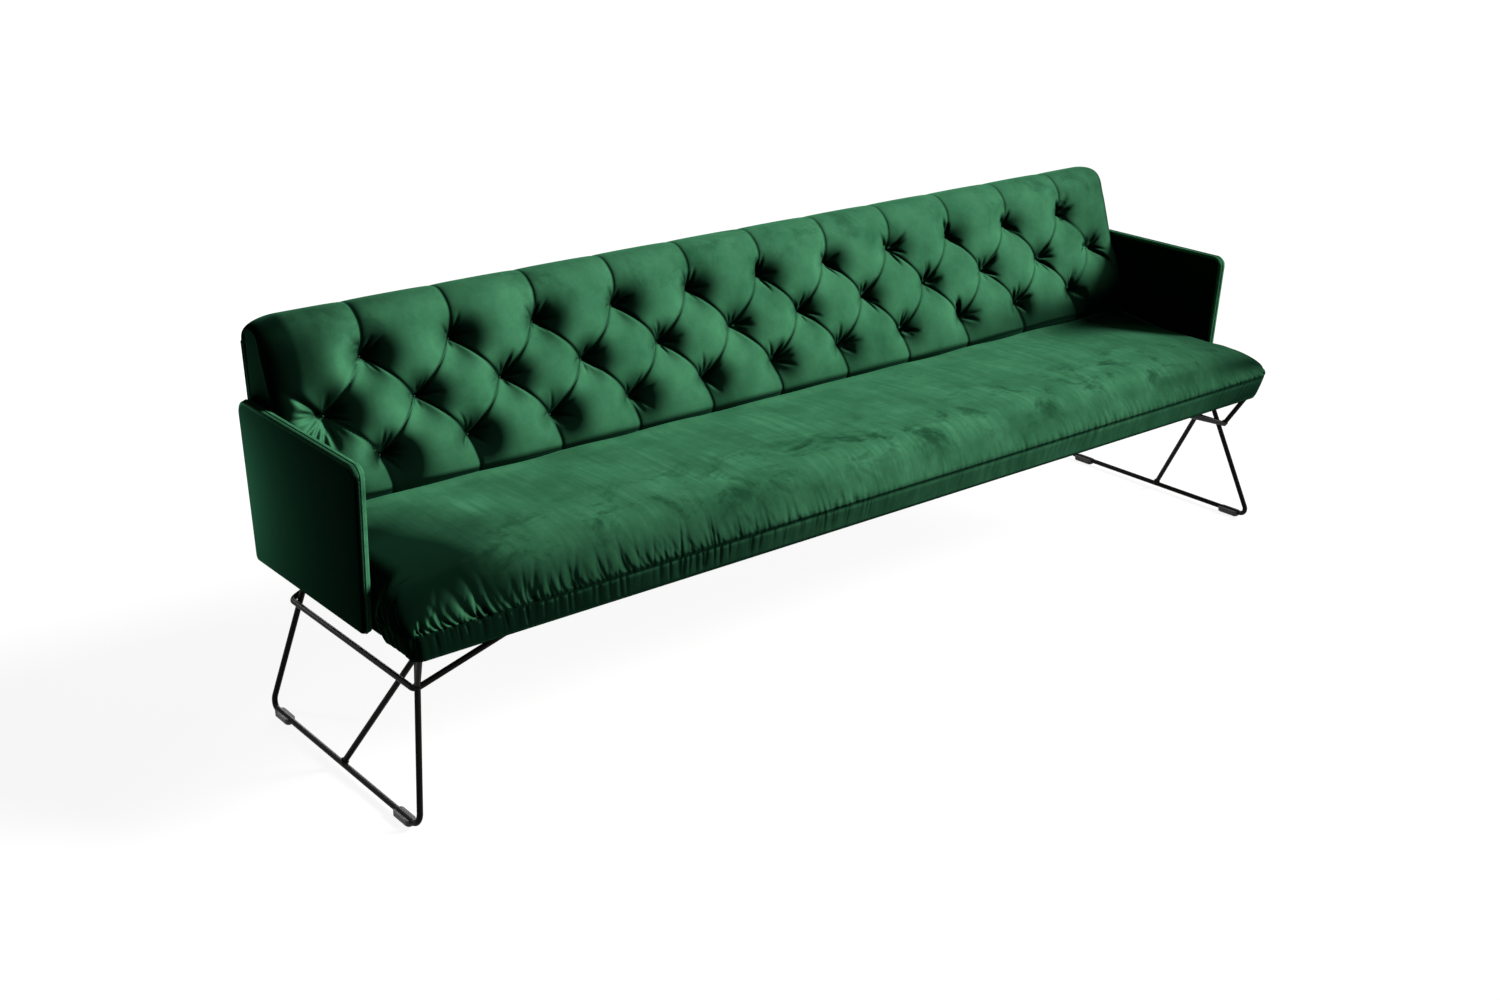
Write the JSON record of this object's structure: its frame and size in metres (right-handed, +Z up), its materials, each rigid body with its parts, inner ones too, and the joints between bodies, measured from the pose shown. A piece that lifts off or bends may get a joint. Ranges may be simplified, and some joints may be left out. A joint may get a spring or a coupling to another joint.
{
  "type": "dining bench",
  "caption": "Long upholstered dining bench with a deep-tufted reclined back, thin side arms, a rolled-front seat cushion and bent steel-rod sled legs.",
  "frame": {"origin": "on the floor under the middle of the bench", "axes": "+X along the bench to the sitter's left, which is the right in the picture, -Y to the front, +Z up"},
  "size_m": [2.462, 0.658, 0.847],
  "materials": {
    "velvet": "emerald cut-pile velvet over padding",
    "foam": "cut foam",
    "dust_cloth": "black spun-bonded cloth",
    "twine": "waxed tufting twine",
    "timber": "planed softwood",
    "plywood": "sanded birch plywood",
    "black_rod": "satin black powder coat on steel",
    "zinc_steel": "zinc-plated steel",
    "glide_plastic": "moulded black polyethylene",
    "nylon": "moulded natural nylon"
  },
  "bodies": {
    "root": {"back_cushion": "velvet", "back_post_screws": "zinc_steel", "back_posts": "timber", "back_rear_panel": "velvet", "back_tie_anchors": "nylon", "back_top_rail": "timber", "back_tuft_board": "plywood", "back_tuft_ties": "twine", "left_arm_bolts": "zinc_steel", "left_arm_core": "plywood", "left_arm_inner_pad": "velvet", "left_arm_outer_pad": "velvet", "left_arm_welt": "velvet", "left_brace_rod": "black_rod", "left_corner_strut": "black_rod", "left_floor_glides": "glide_plastic", "left_loop_rod": "black_rod", "left_mounting_plates": "black_rod", "left_plate_screws": "zinc_steel", "left_sled_rod": "black_rod", "right_arm_bolts": "zinc_steel", "right_arm_core": "plywood", "right_arm_inner_pad": "velvet", "right_arm_outer_pad": "velvet", "right_arm_welt": "velvet", "right_brace_rod": "black_rod", "right_corner_strut": "black_rod", "right_floor_glides": "glide_plastic", "right_loop_rod": "black_rod", "right_mounting_plates": "black_rod", "right_plate_screws": "zinc_steel", "right_sled_rod": "black_rod", "seat_cover": "velvet", "seat_cross_rails": "timber", "seat_deck": "plywood", "seat_dust_cover": "dust_cloth", "seat_end_rails": "timber", "seat_foam": "foam", "seat_front_rail": "timber", "seat_rear_rail": "timber"}
  },
  "joints": []
}
